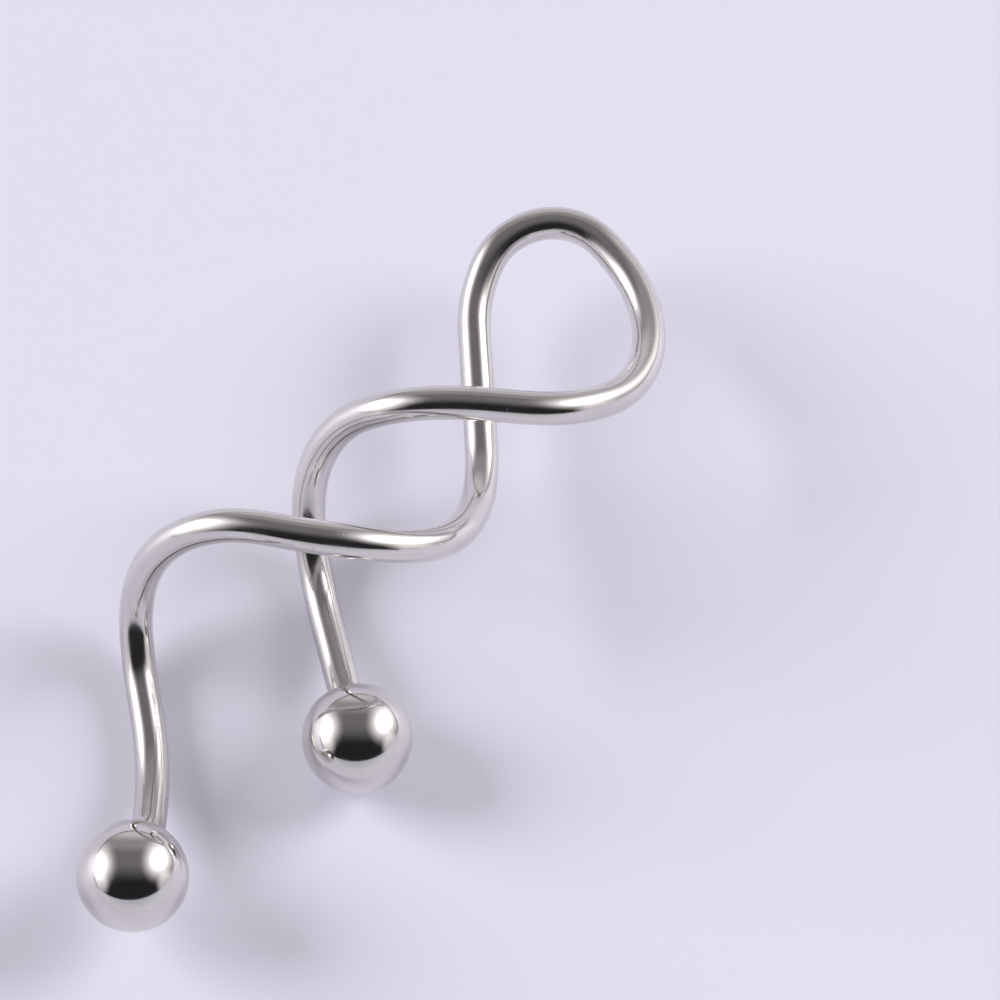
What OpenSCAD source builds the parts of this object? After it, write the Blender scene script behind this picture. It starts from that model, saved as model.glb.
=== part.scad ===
// Industrial barbell: one polished wire, folded double and twisted, with a ball
// screwed on each end. Millimetres, +Z up, lying on the plane z = 0 as it rests,
// the origin under the middle of its box.

/* [Wire] */
// Diameter of the wire
wire_d = 1.6; // [1.2:0.1:1.8]
// How much thicker a bend is than a straight, so that each joins with a clean edge
bend_swell = 0.01; // [0.006:0.002:0.02]

/* [Threaded ends] */
// Diameter of the end that goes into a ball
pin_d = 1.2; // [0.8:0.1:1.2]
// How far the end goes past the ball's centre
pin_past = 0.6; // [0:0.1:1.2]
// Bevel on the tip of the end
pin_bevel = 0.15; // [0.05:0.05:0.25]

/* [Balls] */
// Diameter of a ball
ball_d = 5.2; // [4.8:0.1:5.4]
// Distance from the ball's centre to the wire's shoulder
seat = 2.3; // [2.2:0.05:2.35]
// Room around the end in its hole
hole_gap = 0.03; // [0.02:0.01:0.06]
// Room around the wire in the ball's seat, and under its shoulder
seat_gap = 0.04; // [0.02:0.01:0.08]
// Depth of the hole beyond the end's tip
hole_past = 0.2; // [0.1:0.1:0.6]
// Width of the bevel round the seat's mouth
mouth_bevel = 0.06; // [0.03:0.01:0.12]

/* [Hidden] */
$fn = 96;

// Corners of the wire's middle line, from the near ball's centre to the far
// ball's centre. Each is where two straights would meet, and the radius that
// the wire is bent to there.
X = 0;
Y = 1;
Z = 2;
BEND = 3;
corners = [
    // near ball, then the bow that starts the twist
    [-4.2, -18.0, 4.2, 0],
    [-4.4, -15.1, 2.4, 2.3],
    [-5.3, -11.6, 0.7, 9.4],
    [-7.7, -7.6, 0.9, 3.2],
    [-9.2, -5.0, 2.6, 4.7],
    // over the other leg, and down behind it at the second crossing
    [-8.7, -2.4, 8.7, 6.5],
    [-1.1, -1.6, 11.0, 6.4],
    [3.8, 0.9, 8.5, 6.6],
    [4.3, 5.8, 4.3, 5.9],
    // round the closed loop
    [0.4, 14.8, 3.9, 5.5],
    [0.3, 17.9, 4.8, 3.2],
    [3.1, 20.7, 5.4, 3.2],
    [9.0, 17.3, 6.0, 6.8],
    [9.1, 11.9, 8.4, 6.1],
    [6.7, 8.8, 10.6, 5.7],
    // back over the first leg, under it, and straight to the far ball
    [-0.2, 6.5, 10.7, 6.1],
    [-4.9, 5.1, 4.6, 6.3],
    [-1.7, 0.1, 0.4, 4.9],
    [3.0, -7.3, 2.6, 0]
];
last = len(corners) - 1;

// A straight runs this far into the bends at its ends
lap = 0.05;
// The two ends: the ball's centre, and the way from it along the wire
near_at = at(0);
near_way = way(0);
far_at = at(last);
far_way = -way(last - 1);
// Where a ball's surface meets the seat's wall, from the centre
mouth = sqrt(pow(ball_d / 2, 2) - pow(wire_d / 2 + seat_gap, 2));

// Corner i, the way from it to the next one, and the angle turned there
function at(i) = [corners[i][X], corners[i][Y], corners[i][Z]];
function way(i) = let (leg = at(i + 1) - at(i)) leg / norm(leg);
function turned(i) = acos(way(i - 1) * way(i));
// Length of straight that the bend at corner i takes from each side
function taken(i) = i == 0 || i == last ? seat : corners[i][BEND] * tan(turned(i) / 2);
function unit(v) = v / norm(v);

// Stands what follows at a point, with its +Z along a direction
module stand(point, dir) {
    translate(point)
        rotate([0, acos(dir[Z]), atan2(dir[Y], dir[X])])
            children();
}

// The straight from corner i to the next
module straight(i) {
    lap_in = i == 0 ? 0 : lap;
    lap_out = i == last - 1 ? 0 : lap;
    run = norm(at(i + 1) - at(i)) - taken(i) - taken(i + 1);
    stand(at(i) + (taken(i) - lap_in) * way(i), way(i))
        cylinder(h = run + lap_in + lap_out, d = wire_d);
}

// The bend at corner i: part of a ring, whose X axis points from the ring's
// centre to where the bend begins, and its Y axis along the wire there
module bend(i) {
    y = way(i - 1);
    x = -unit(way(i) - (way(i) * y) * y);
    z = cross(x, y);
    centre = at(i) - taken(i) * y - corners[i][BEND] * x;
    multmatrix([
        [x[X], y[X], z[X], centre[X]],
        [x[Y], y[Y], z[Y], centre[Y]],
        [x[Z], y[Z], z[Z], centre[Z]],
        [0, 0, 0, 1]
    ])
        rotate_extrude(angle = turned(i))
            translate([corners[i][BEND], 0])
                circle(d = wire_d + bend_swell);
}

// A thinner end with a bevelled tip, standing on the wire's shoulder
module threaded_end(point, dir) {
    stand(point, dir) {
        translate([0, 0, -pin_past + pin_bevel])
            cylinder(h = pin_past - pin_bevel + seat + pin_d / 2, d = pin_d);
        translate([0, 0, -pin_past])
            cylinder(h = pin_bevel, d1 = pin_d - 2 * pin_bevel, d2 = pin_d);
    }
}

// A ball with its blind hole and the shallow seat that the wire's shoulder sits in
module ball(point, dir) {
    color([0.78, 0.78, 0.80])
        stand(point, dir)
            difference() {
                sphere(d = ball_d);
                translate([0, 0, -pin_past - hole_past])
                    cylinder(h = pin_past + hole_past + ball_d / 2, d = pin_d + 2 * hole_gap);
                translate([0, 0, seat - seat_gap])
                    cylinder(h = ball_d / 2, d = wire_d + 2 * seat_gap);
                translate([0, 0, mouth - mouth_bevel])
                    cylinder(
                        h = 3 * mouth_bevel,
                        d1 = wire_d + 2 * seat_gap,
                        d2 = wire_d + 2 * seat_gap + 6 * mouth_bevel
                    );
            }
}

module bar() {
    color([0.70, 0.70, 0.72]) {
        for (i = [0:last - 1]) straight(i);
        for (i = [1:last - 1]) bend(i);
        threaded_end(near_at, near_way);
        threaded_end(far_at, far_way);
    }
}

module near_ball() {
    ball(near_at, near_way);
}

module far_ball() {
    ball(far_at, far_way);
}

bar();
near_ball();
far_ball();
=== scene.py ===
# %% [markdown]
# # A twisted industrial barbell
# An industrial barbell is a piece of body jewellery: a steel bar with a ball
# screwed on each end, worn through two piercings at once. This one is a single
# polished wire, folded double, with its two legs twisted round each other.
# The frame gives the solids that the motion model uses.

# %% Load the frame
import math
import bpy
from mathutils import Matrix, Vector


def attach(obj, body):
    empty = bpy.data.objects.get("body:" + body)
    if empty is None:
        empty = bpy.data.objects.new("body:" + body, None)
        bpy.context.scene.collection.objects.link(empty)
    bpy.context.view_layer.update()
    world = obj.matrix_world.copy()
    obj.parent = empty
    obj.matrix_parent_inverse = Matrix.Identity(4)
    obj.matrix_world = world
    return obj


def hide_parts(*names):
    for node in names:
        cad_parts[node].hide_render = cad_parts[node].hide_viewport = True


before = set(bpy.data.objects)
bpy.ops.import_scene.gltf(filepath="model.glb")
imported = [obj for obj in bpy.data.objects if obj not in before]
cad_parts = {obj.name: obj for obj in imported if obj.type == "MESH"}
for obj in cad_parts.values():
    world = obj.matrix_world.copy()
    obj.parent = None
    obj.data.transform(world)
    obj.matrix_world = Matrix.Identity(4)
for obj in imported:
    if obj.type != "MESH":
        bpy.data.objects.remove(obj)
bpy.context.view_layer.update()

# %% [markdown]
# ## Sizes
# Blender works in metres here, so every size is given in millimetres times MM.
# The wire is described as a bending bench would: straights that meet at
# corners, and the radius that each corner is bent to. That is far shorter
# than a list of points along the wire, and it can be read and changed by hand.

# %% Named sizes
MM = 0.001
WIRE_R = 0.8 * MM
BALL_R = 2.6 * MM
SEAT = 2.3 * MM         # ball's centre to the wire's shoulder
SEAT_GAP = 0.04 * MM    # room round the wire, and under its shoulder, in the ball
PIN_R = 0.6 * MM        # the threaded end inside a ball
PIN_PAST = 0.6 * MM     # how far the end goes past the ball's centre
HOLE_R = 0.63 * MM
HOLE_PAST = 0.8 * MM    # how far the hole goes past the ball's centre
MOUTH_BEVEL = 0.06 * MM

# %% Corners of the wire: x, y, z and bend radius, in millimetres
X, Y, Z, BEND = range(4)
CORNERS = [
    # near ball, then the bow that starts the twist
    (-4.2, -18.0, 4.2, 0),
    (-4.4, -15.1, 2.4, 2.3),
    (-5.3, -11.6, 0.7, 9.4),
    (-7.7, -7.6, 0.9, 3.2),
    (-9.2, -5.0, 2.6, 4.7),
    # over the other leg, and down behind it at the second crossing
    (-8.7, -2.4, 8.7, 6.5),
    (-1.1, -1.6, 11.0, 6.4),
    (3.8, 0.9, 8.5, 6.6),
    (4.3, 5.8, 4.3, 5.9),
    # round the closed loop
    (0.4, 14.8, 3.9, 5.5),
    (0.3, 17.9, 4.8, 3.2),
    (3.1, 20.7, 5.4, 3.2),
    (9.0, 17.3, 6.0, 6.8),
    (9.1, 11.9, 8.4, 6.1),
    (6.7, 8.8, 10.6, 5.7),
    # back over the first leg, under it, and straight to the far ball
    (-0.2, 6.5, 10.7, 6.1),
    (-4.9, 5.1, 4.6, 6.3),
    (-1.7, 0.1, 0.4, 4.9),
    (3.0, -7.3, 2.6, 0),
]
corner = [Vector(row[:BEND]) * MM for row in CORNERS]
way = [(b - a).normalized() for a, b in zip(corner, corner[1:])]
print("wire with", len(CORNERS) - 2, "bends")

# %% [markdown]
# ## Small helpers for working by hand
# An operator acts on everything that is selected, and the frame's own parts
# are selected after loading. So each piece starts by letting go of them, and
# points are picked in code, by where they lie.

# %% Selecting
def let_go():
    """Leaves edit mode and deselects every object."""
    if bpy.context.mode != "OBJECT":
        bpy.ops.object.mode_set(mode="OBJECT")
    bpy.ops.object.select_all(action="DESELECT")


def edit_all():
    """Enters edit mode on the active object with all of it selected."""
    bpy.ops.object.mode_set(mode="EDIT")
    bpy.ops.mesh.select_mode(type="VERT")
    bpy.ops.mesh.select_all(action="SELECT")


def select_near(piece, place, radius):
    """In edit mode, selects only the points within a radius of a place."""
    bpy.ops.mesh.select_all(action="DESELECT")
    bpy.ops.object.mode_set(mode="OBJECT")
    for vert in piece.data.vertices:
        vert.select = (vert.co - place).length < radius
    bpy.ops.object.mode_set(mode="EDIT")


def extrude(offset):
    """Extrudes what is selected and moves it by an offset."""
    bpy.ops.mesh.extrude_region_move(TRANSFORM_OT_translate={"value": offset})


def widen(factor, middle):
    """Scales what is selected evenly about a point."""
    bpy.ops.transform.resize(value=(factor,) * 3, center_override=middle)


def facing(direction):
    """The turn that stands +Z along a direction."""
    return direction.to_track_quat("Z", "Y")


def apply_modifiers(piece):
    """Makes the modifiers on a piece part of its mesh."""
    let_go()
    bpy.context.view_layer.objects.active = piece
    piece.select_set(True)
    for modifier in list(piece.modifiers):
        bpy.ops.object.modifier_apply(modifier=modifier.name)


# %% [markdown]
# ## The wire
# A bender feeds the wire straight, turns it round a former, and feeds again.
# The same can be done in edit mode: a ring of points is extruded along each
# straight, and spun round the middle of each bend. Even, short steps let a
# Subdivision Surface smooth the jump in curvature where a straight meets an
# arc, because a mirror finish would show each jump as a kink in its
# reflections. Subdividing draws a ring in a little, so it starts wider.

# %% Straights and arcs
RING_POINTS = 24
RING_STEP = 0.7 * MM    # about this far from one ring to the next
RING_R = WIRE_R * 3 / (2 + math.cos(2 * math.pi / RING_POINTS))


def bend_at(i):
    """The angle turned at corner i, and the straight it takes from each side."""
    if i in (0, len(corner) - 1):
        return 0.0, SEAT
    angle = way[i - 1].angle(way[i])
    return angle, CORNERS[i][BEND] * MM * math.tan(angle / 2)


def feed(direction, length):
    """Extrudes the selected ring along a straight, in even steps."""
    steps = max(1, round(length / RING_STEP))
    for _ in range(steps):
        extrude(direction * (length / steps))


def turn_round(i, angle, taken):
    """Spins the selected ring round the middle of the bend at corner i."""
    inward = (way[i] - way[i].dot(way[i - 1]) * way[i - 1]).normalized()
    radius = CORNERS[i][BEND] * MM
    middle = corner[i] - taken * way[i - 1] + radius * inward
    steps = max(2, round(angle * radius / RING_STEP))
    bpy.ops.mesh.spin(
        steps=steps, angle=-angle, center=middle, axis=way[i - 1].cross(inward)
    )


# %% The wire, from the near ball's seat to the far ball's
let_go()
near_end = corner[0] + SEAT * way[0]
far_end = corner[-1] - SEAT * way[-1]
bpy.ops.mesh.primitive_circle_add(
    vertices=RING_POINTS, radius=RING_R, location=near_end,
    rotation=facing(way[0]).to_euler(),
)
wire = bpy.context.object
wire.name = wire.data.name = "wire"
bpy.ops.object.transform_apply(location=True, rotation=True, scale=True)
edit_all()
for i, direction in enumerate(way):
    angle, taken = bend_at(i)
    if angle:
        turn_round(i, angle, taken)
    feed(direction, (corner[i + 1] - corner[i]).length - taken - bend_at(i + 1)[1])
bpy.ops.object.mode_set(mode="OBJECT")
tip = sum((v.co for v in wire.data.vertices if v.select), Vector()) / RING_POINTS
print("rings", len(wire.data.vertices) // RING_POINTS,
      "end off by %.5f mm" % ((tip - far_end).length / MM))

# %% [markdown]
# ## The threaded ends
# On the real bar the wire is turned down at each end and cut with a fine
# thread, and the ball screws up against the shoulder that this leaves. The
# wire's last ring is extruded and drawn in for the shoulder, and a crease keeps
# its corner sharp when the wire is subdivided. The thread is a small tooth
# swept by a Screw modifier, the way a machinist describes one: the shape of a
# tooth, a pitch and a number of turns.

# %% Shoulders
THREAD_PITCH = 0.25 * MM
THREAD_DEPTH = 0.14 * MM
CORE_R = PIN_R - THREAD_DEPTH
TIP_BEVEL = 0.1 * MM
TIP_SHARE = 0.75        # width of the tip beside the core's
RING_REACH = RING_R * 1.01      # takes in one whole ring from its middle
WIRE_EDGE = math.radians(40)    # edges sharper than this stay sharp


def turn_down(end, direction):
    """Draws the wire's end ring in to the core of the thread, and closes it."""
    select_near(wire, end, RING_REACH)
    bpy.ops.transform.edge_crease(value=1)
    extrude((0, 0, 0))
    widen(CORE_R / RING_R, end)
    bpy.ops.transform.edge_crease(value=1)
    extrude(-direction * (SEAT + PIN_PAST - TIP_BEVEL))
    bpy.ops.transform.edge_crease(value=1)
    extrude(-direction * TIP_BEVEL)
    widen(TIP_SHARE, end - direction * (SEAT + PIN_PAST))
    bpy.ops.transform.edge_crease(value=1)
    bpy.ops.mesh.edge_face_add()


bpy.ops.object.mode_set(mode="EDIT")
turn_down(near_end, way[0])
turn_down(far_end, -way[-1])
bpy.ops.mesh.select_all(action="SELECT")
bpy.ops.mesh.normals_make_consistent(inside=False)
let_go()
smooth = wire.modifiers.new("smooth", "SUBSURF")
smooth.levels = smooth.render_levels = 2
apply_modifiers(wire)
bpy.ops.object.shade_smooth_by_angle(angle=WIRE_EDGE)
print("wire has", len(wire.data.polygons), "faces")

# %% The thread: one tooth, swept as a screw
TURNS = int((SEAT + PIN_PAST - TIP_BEVEL) / THREAD_PITCH) - 1
THREAD_STEPS = 32       # to a turn
TOOTH_FOOT_R = CORE_R - 0.02 * MM
TOOTH_HALF = 0.45       # half the width of a tooth's foot, in pitches
COIL_TO_SHOULDER = 0.8  # in pitches


def thread(end, direction):
    """A coil of one tooth round the core, from the tip towards the shoulder."""
    let_go()
    bpy.ops.mesh.primitive_circle_add(vertices=3, radius=THREAD_DEPTH)
    coil = bpy.context.object
    tooth = ((TOOTH_FOOT_R, -TOOTH_HALF), (PIN_R, 0), (TOOTH_FOOT_R, TOOTH_HALF))
    for vert, (out, along) in zip(coil.data.vertices, tooth):
        vert.co = (out, 0, along * THREAD_PITCH)
    screw = coil.modifiers.new("screw", "SCREW")
    screw.screw_offset = THREAD_PITCH
    screw.iterations = TURNS
    screw.steps = screw.render_steps = THREAD_STEPS
    apply_modifiers(coil)
    edit_all()
    bpy.ops.mesh.fill_holes(sides=4)
    bpy.ops.mesh.select_all(action="SELECT")
    bpy.ops.mesh.normals_make_consistent(inside=False)
    let_go()
    foot = end - direction * (TURNS + COIL_TO_SHOULDER) * THREAD_PITCH
    coil.matrix_world = Matrix.Translation(foot) @ facing(direction).to_matrix().to_4x4()
    coil.select_set(True)
    bpy.ops.object.transform_apply(location=True, rotation=True, scale=True)
    return coil


coils = [thread(near_end, way[0]), thread(far_end, -way[-1])]
let_go()
for part in (*coils, wire):
    part.select_set(True)
bpy.context.view_layer.objects.active = wire
bpy.ops.object.join()
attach(wire, "wire")
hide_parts("bar")
print("wire with its threads has", len(wire.data.polygons), "faces,", TURNS, "turns each")

# %% [markdown]
# ## The balls
# A ball is turned from bar, drilled and tapped on one side, and the mouth of
# the hole gets a shallow seat for the wire's shoulder and a hair of bevel. Here
# a sphere has its top cut off by a plane just where the bevel starts, and the
# edge that the cut leaves is extruded inwards: bevel, seat, floor, hole. It is
# modelled upright at the origin, where every height is easy to say, and then
# stood on the end of the wire.

# %% One ball, drilled and seated
BALL_SEGMENTS = 128
SEAT_R = WIRE_R + SEAT_GAP
MOUTH_R = SEAT_R + MOUTH_BEVEL
MOUTH_Z = math.sqrt(BALL_R ** 2 - MOUTH_R ** 2)
CUT_TOLERANCE = 1e-8
BALL_EDGE = math.radians(15)    # edges sharper than this stay sharp


def drill(steps):
    """Extrudes the selected edge through rings given as (radius, height)."""
    radius, height = steps[0]
    for next_radius, next_height in steps[1:]:
        extrude((0, 0, next_height - height))
        factor = next_radius / radius
        bpy.ops.transform.resize(value=(factor, factor, 1), center_override=(0, 0, 0))
        radius, height = next_radius, next_height


def screw_ball(name, centre, direction):
    """One ball, cut, drilled and stood on the wire's end."""
    let_go()
    bpy.ops.mesh.primitive_uv_sphere_add(
        segments=BALL_SEGMENTS, ring_count=BALL_SEGMENTS // 2, radius=BALL_R
    )
    ball = bpy.context.object
    ball.name = ball.data.name = name
    edit_all()
    bpy.ops.mesh.bisect(
        plane_co=(0, 0, MOUTH_Z), plane_no=(0, 0, 1), clear_outer=True,
        threshold=CUT_TOLERANCE,
    )
    drill([
        (MOUTH_R, MOUTH_Z),
        (SEAT_R, MOUTH_Z - MOUTH_BEVEL),
        (SEAT_R, SEAT - SEAT_GAP),
        (HOLE_R, SEAT - SEAT_GAP),
        (HOLE_R, -HOLE_PAST),
    ])
    bpy.ops.mesh.edge_face_add()
    bpy.ops.mesh.select_all(action="SELECT")
    bpy.ops.mesh.normals_make_consistent(inside=False)
    let_go()
    ball.select_set(True)
    bpy.ops.object.shade_smooth_by_angle(angle=BALL_EDGE)
    ball.matrix_world = Matrix.Translation(centre) @ facing(direction).to_matrix().to_4x4()
    bpy.ops.object.transform_apply(location=True, rotation=True, scale=True)
    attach(ball, name)
    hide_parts(name)
    print(name, "has", len(ball.data.polygons), "faces")
    return ball


near_ball = screw_ball("near_ball", corner[0], way[0])
far_ball = screw_ball("far_ball", corner[-1], -way[-1])

# %% [markdown]
# ## Arithmetic with shader sockets
# A material is a sum worked out at every point of a surface. Wrapping a socket
# in a small class lets the sums be written as sums, and each + or * below
# becomes a Math node that can be opened and changed in the shader editor.

# %% A socket that can be added and multiplied
class Signal:
    """One output socket in a node tree, or none yet."""

    def __init__(self, tree, socket=None):
        self.tree = tree
        self.socket = socket

    def node(self, kind, inputs=None, output=0, **settings):
        """Adds a node to the same tree, and gives one of its outputs."""
        new = self.tree.nodes.new("ShaderNode" + kind)
        for name, value in settings.items():
            setattr(new, name, value)
        for name, value in (inputs or {}).items():
            if isinstance(value, Signal):
                self.tree.links.new(value.socket, new.inputs[name])
            else:
                new.inputs[name].default_value = value
        return Signal(self.tree, new.outputs[output])

    def sum_of(self, operation, first, second):
        """A Math node on two values, of which at least one is a socket."""
        return self.node("Math", {0: first, 1: second}, operation=operation)

    def __add__(self, other):
        return self.sum_of("ADD", self, other)

    def __sub__(self, other):
        return self.sum_of("SUBTRACT", self, other)

    def __rsub__(self, other):
        return self.sum_of("SUBTRACT", other, self)

    def __mul__(self, other):
        return self.sum_of("MULTIPLY", self, other)

    def __truediv__(self, other):
        return self.sum_of("DIVIDE", self, other)

    def __pow__(self, other):
        return self.sum_of("POWER", self, other)

    __radd__ = __add__
    __rmul__ = __mul__

    def ramp(self, low, high):
        """0 where this is below low, 1 above high, and smooth between."""
        return self.node(
            "MapRange", {"Value": self, "From Min": low, "From Max": high},
            interpolation_type="SMOOTHSTEP",
        )

    def blend(self, low, high):
        """low where this is 0, and high where it is 1, as numbers."""
        return self.node("Mix", {0: self, 2: low, 3: high}, data_type="FLOAT")

    def dot(self, vector):
        """How far this direction points along a vector."""
        return self.node(
            "VectorMath", {0: self, 1: vector}, output=1, operation="DOT_PRODUCT"
        )


# %% [markdown]
# ## Polished steel
# The bar and balls are surgical steel, tumbled and buffed until they mirror
# the room. Such a surface is never perfect: the buffing leaves it faintly
# wavy, handling leaves hair-fine scratches that run in every direction, and a
# few specks of dust settle on it. The wire was also drawn through a die and
# bent, so it is a little less even than the turned balls.

# %% Steel
SCRATCH_TURNS = ((0.3, 0.2, 0.4), (1.4, 0.7, 2.0), (0.9, 2.3, 1.1))
SCRATCH_SHAPE = (0.5, 16, 16)   # long one way, narrow the others
SCRATCH_HEIGHT = -0.00015       # in mm
SPECK_HEIGHT = 0.006            # in mm
SCRATCH_HAZE = 0.04             # roughness that a scratch adds
WORN_HAZE = 1.6                 # how much rougher a worn place is


def steel(name, wave, grain, roughness, shift):
    """Mirror steel. wave and grain are heights in mm; shift moves the pattern."""
    material = bpy.data.materials.new(name)
    material.use_nodes = True
    tree = material.node_tree
    bsdf = tree.nodes["Principled BSDF"]
    start = Signal(tree)
    place = start.node("TexCoord", output="Object")
    place = start.node("VectorMath", {0: place, 3: 1 / MM}, operation="SCALE")
    place = start.node("VectorMath", {0: place, 1: shift}, operation="ADD")

    def noise(scale, detail, turned=None, stretch=None):
        """Noise with about scale lumps to a mm, drawn out if it is turned."""
        where = place
        if turned:
            where = start.node(
                "Mapping", {"Vector": place, "Rotation": turned, "Scale": stretch}
            )
        return start.node("TexNoise", {"Vector": where, "Scale": scale, "Detail": detail})

    scratches = sum(
        noise(1.0, 0, turned, SCRATCH_SHAPE).ramp(0.66, 0.74) for turned in SCRATCH_TURNS
    )
    dots = start.node("TexVoronoi", {"Vector": place, "Scale": 1.4}, output="Distance")
    specks = 1 - dots.ramp(0.03, 0.075)
    worn = noise(0.8, 3).ramp(0.35, 0.7)
    bumps = noise(0.45, 1) * wave + noise(7, 2) * grain
    bumps = bumps + scratches * SCRATCH_HEIGHT + specks * SPECK_HEIGHT
    normal = start.node("Bump", {"Height": bumps, "Distance": MM, "Strength": 1.0})
    grey = worn.blend(0.73, 0.70) - specks * 0.1
    colour = start.node("CombineColor", {0: grey, 1: grey * 0.965, 2: grey * 0.93})
    rough = worn.blend(roughness, roughness * WORN_HAZE) + scratches * SCRATCH_HAZE
    for goal, signal in (("Base Color", colour), ("Roughness", rough), ("Normal", normal)):
        tree.links.new(signal.socket, bsdf.inputs[goal])
    bsdf.inputs["Metallic"].default_value = 1.0
    return material


wire.data.materials.clear()
wire.data.materials.append(
    steel("wire_steel", wave=0.006, grain=0.0008, roughness=0.11, shift=(0, 0, 0))
)
ball_steel = steel("ball_steel", wave=0.002, grain=0.0001, roughness=0.06, shift=(7, 3, 5))
for ball in (near_ball, far_ball):
    ball.data.materials.clear()
    ball.data.materials.append(ball_steel)
print("materials", [m.name for m in bpy.data.materials])

# %% [markdown]
# ## The table
# The jewellery was photographed on a pale table with a breath of lavender and
# a satin sheen, which brightens the rims of the balls where they mirror it
# below a lamp. A plain plane stands for it, far wider than the picture.

# %% Floor
TABLE_SIZE = 3000 * MM
TABLE_COLOUR = (0.762, 0.752, 0.862, 1)
let_go()
bpy.ops.mesh.primitive_plane_add(size=TABLE_SIZE)
floor = bpy.context.object
floor.name = "floor"
pale = bpy.data.materials.new("pale_table")
pale.use_nodes = True
pale_bsdf = pale.node_tree.nodes["Principled BSDF"]
pale_bsdf.inputs["Base Color"].default_value = TABLE_COLOUR
pale_bsdf.inputs["Roughness"].default_value = 0.45
pale_bsdf.inputs["Specular IOR Level"].default_value = 0.3
floor.data.materials.append(pale)

# %% [markdown]
# ## The lamps
# Two soft boxes stand to the left of the jewellery and behind it on the right.
# Each is a sun as wide as a soft box looks from the table, so its shadows are
# soft and the whole table is lit alike. The steel is shown the room below
# instead, because there the lamps have the shape and the glow that the
# photograph shows.

# %% Lamps
LAMP_WIDTH = math.radians(33)
TO_LEFT_LAMP = Vector((-0.885, -0.101, 0.454))
TO_RIGHT_LAMP = Vector((0.589, 0.623, 0.515))


def lamp(name, direction, strength):
    """A wide, soft sun that shines from a direction."""
    data = bpy.data.lights.new(name, "SUN")
    data.angle = LAMP_WIDTH
    data.energy = strength
    light = bpy.data.objects.new(name, data)
    bpy.context.scene.collection.objects.link(light)
    light.rotation_euler = facing(direction).to_euler()
    light.visible_glossy = False
    light.visible_camera = False


lamp("lamp_left", TO_LEFT_LAMP, strength=2.36)
lamp("lamp_right", TO_RIGHT_LAMP, strength=1.91)

# %% [markdown]
# ## The room in the mirror
# Polished steel has no colour of its own: what it shows is the room. The room
# is drawn as it would look in a mirror ball seen from the camera, since that is
# how the photograph shows it, and each place on that ball stands for one
# direction. Two lamps glow beside a grey wall that darkens downwards, with a
# paler patch below each, the ceiling is paler too, the table shows all round
# the rim, and a thin dark gap runs along the table's edge.

# %% A mirror ball's view of the room
# The camera's right, its up and the way back to it
CAM_RIGHT = Vector((0.9292923, 0.3444726, 0.1332457))
CAM_UP = Vector((-0.3693451, 0.8667118, 0.3352535))
CAM_BACK = CAM_RIGHT.cross(CAM_UP)
# Straight up from the table as it shows in the photographed balls
TABLE_UP = Vector((-0.2764, 0.3264, 0.9037))
ALMOST = 0.0001         # keeps the ball's rim from a division by 0

world = bpy.data.worlds.new("studio")
bpy.context.scene.world = world
world.use_nodes = True
tree = world.node_tree
tree.nodes.clear()
room = Signal(tree)
ray = room.node("TexCoord", output="Generated")
half = (2 * (1 + ALMOST + ray.dot(CAM_BACK))) ** 0.5
across = ray.dot(CAM_RIGHT) / half
upward = ray.dot(CAM_UP) / half


def spread(x, y, width, height):
    """0 in the middle of an oval on the mirror ball, and 1 on its edge."""
    return (((across - x) / width) ** 2 + ((upward - y) / height) ** 2) ** 0.5


HALO_REACH = 2.2        # how far the halo goes, beside the lamp's own edge
CORE_SHARE = 0.5        # what the lamp's own face adds to its halo


def glow(x, y, width, height, strength):
    """A lamp: brightest in the middle, with a halo about twice as wide."""
    reach = spread(x, y, width, height)
    halo = room.node("Clamp", {"Value": 1 - reach / HALO_REACH}) ** 2
    return (halo + (1 - reach.ramp(0.65, 0.95)) * CORE_SHARE) * strength


def sheen(x, y, width, height, strength):
    """A pale patch with a soft edge."""
    return (1 - spread(x, y, width, height).ramp(0.6, 1.4)) * strength


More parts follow.
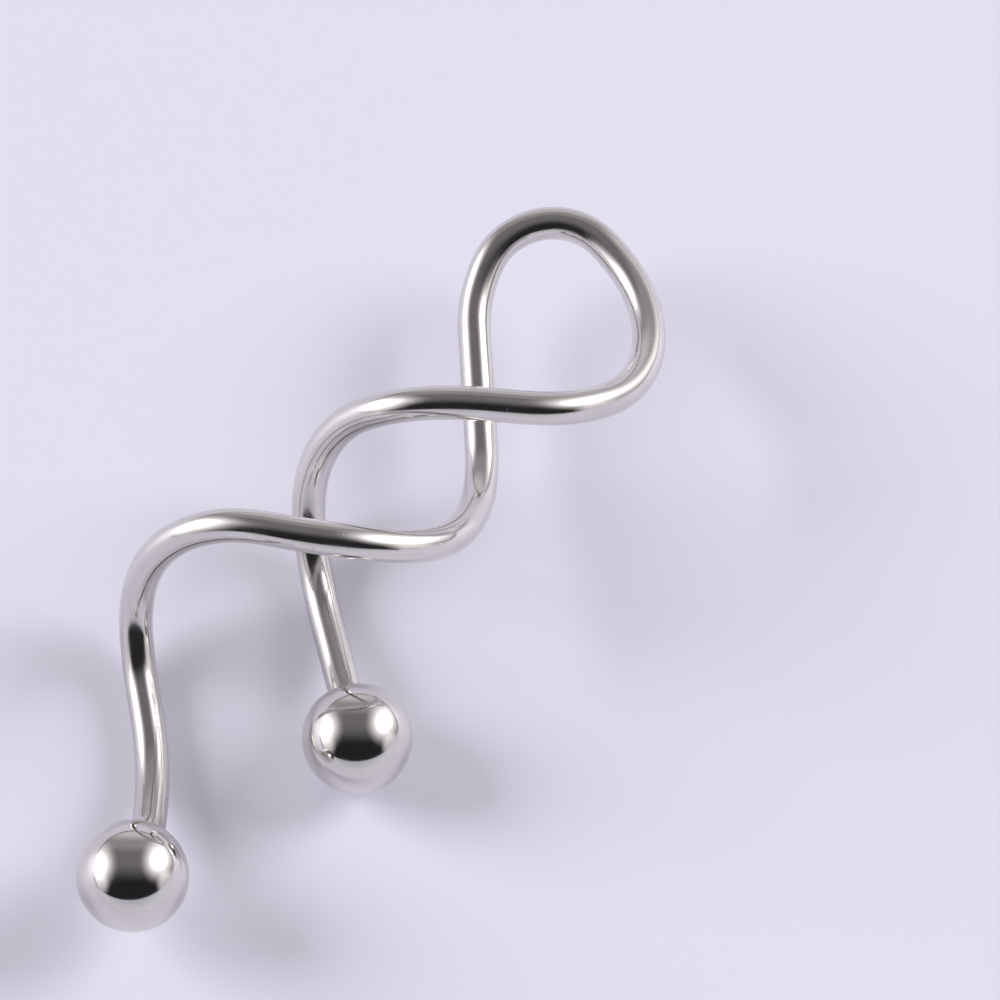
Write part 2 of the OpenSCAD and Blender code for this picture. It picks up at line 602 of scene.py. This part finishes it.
# %% The room's light
# Places and sizes are shares of the ball's radius, across and upwards from its
# middle. half / 2 falls from 1 in the middle to 0 at the rim.
wall = upward.ramp(-0.1, 0.28).blend(0.02, 0.19)
ceiling = upward.ramp(0.42, 0.56) * 0.15 + upward.ramp(0.62, 0.76) * 0.33
lamps = glow(-0.58, 0.21, 0.17, 0.23, 3.5) + glow(0.49, 0.31, 0.165, 0.22, 3.5)
patches = sheen(-0.58, -0.12, 0.17, 0.2, 0.55) + sheen(0.63, -0.12, 0.15, 0.2, 0.65)
table = 1 - ray.dot(TABLE_UP).ramp(-0.02, 0.03)
table_light = (half / 2).ramp(0.785, 0.925).blend(0.76, 0.56)
gap = ray.dot((0, 0, 1)).ramp(0.02, 0.07).blend(0.3, 1.0)
mirrored = (wall + ceiling + lamps + patches) * gap * (1 - table) + table * table_light
ROOM_TINT = (1, 0.97, 1, 1)
TABLE_TINT = (1, 0.985, 1.12, 1)
tint = room.node("Mix", {0: table, 6: ROOM_TINT, 7: TABLE_TINT}, 2, data_type="RGBA")

# %% Mirrors see the room, the table gets an even fill, and the camera a backdrop
FILL = 0.36
BACKDROP = 0.78
seen_in_mirror = room.node("LightPath", output="Is Glossy Ray")
seen_directly = room.node("LightPath", output="Is Camera Ray")
strength = seen_directly.blend(seen_in_mirror.blend(FILL, mirrored), BACKDROP)
sky = room.node("Background", {"Color": tint, "Strength": strength})
tree.links.new(sky.socket, tree.nodes.new("ShaderNodeOutputWorld").inputs["Surface"])

# %% [markdown]
# ## The camera
# A long lens from high up, rolled so that the bar leans as in the photograph.

# %% Camera
AIM = Vector((5.09, 5.92, 4.0)) * MM
DISTANCE = 269.5 * MM
FOCAL_PIXELS = 5687
PICTURE_PIXELS = 1000
camera_data = bpy.data.cameras.new("camera")
camera = bpy.data.objects.new("camera", camera_data)
bpy.context.scene.collection.objects.link(camera)
camera_data.lens = FOCAL_PIXELS / PICTURE_PIXELS * camera_data.sensor_width
camera_data.clip_start = 1 * MM
turn = Matrix((CAM_RIGHT, CAM_UP, CAM_BACK)).transposed().to_4x4()
camera.matrix_world = Matrix.Translation(AIM + DISTANCE * CAM_BACK) @ turn
bpy.context.scene.camera = camera
bpy.context.scene.view_settings.view_transform = "Standard"
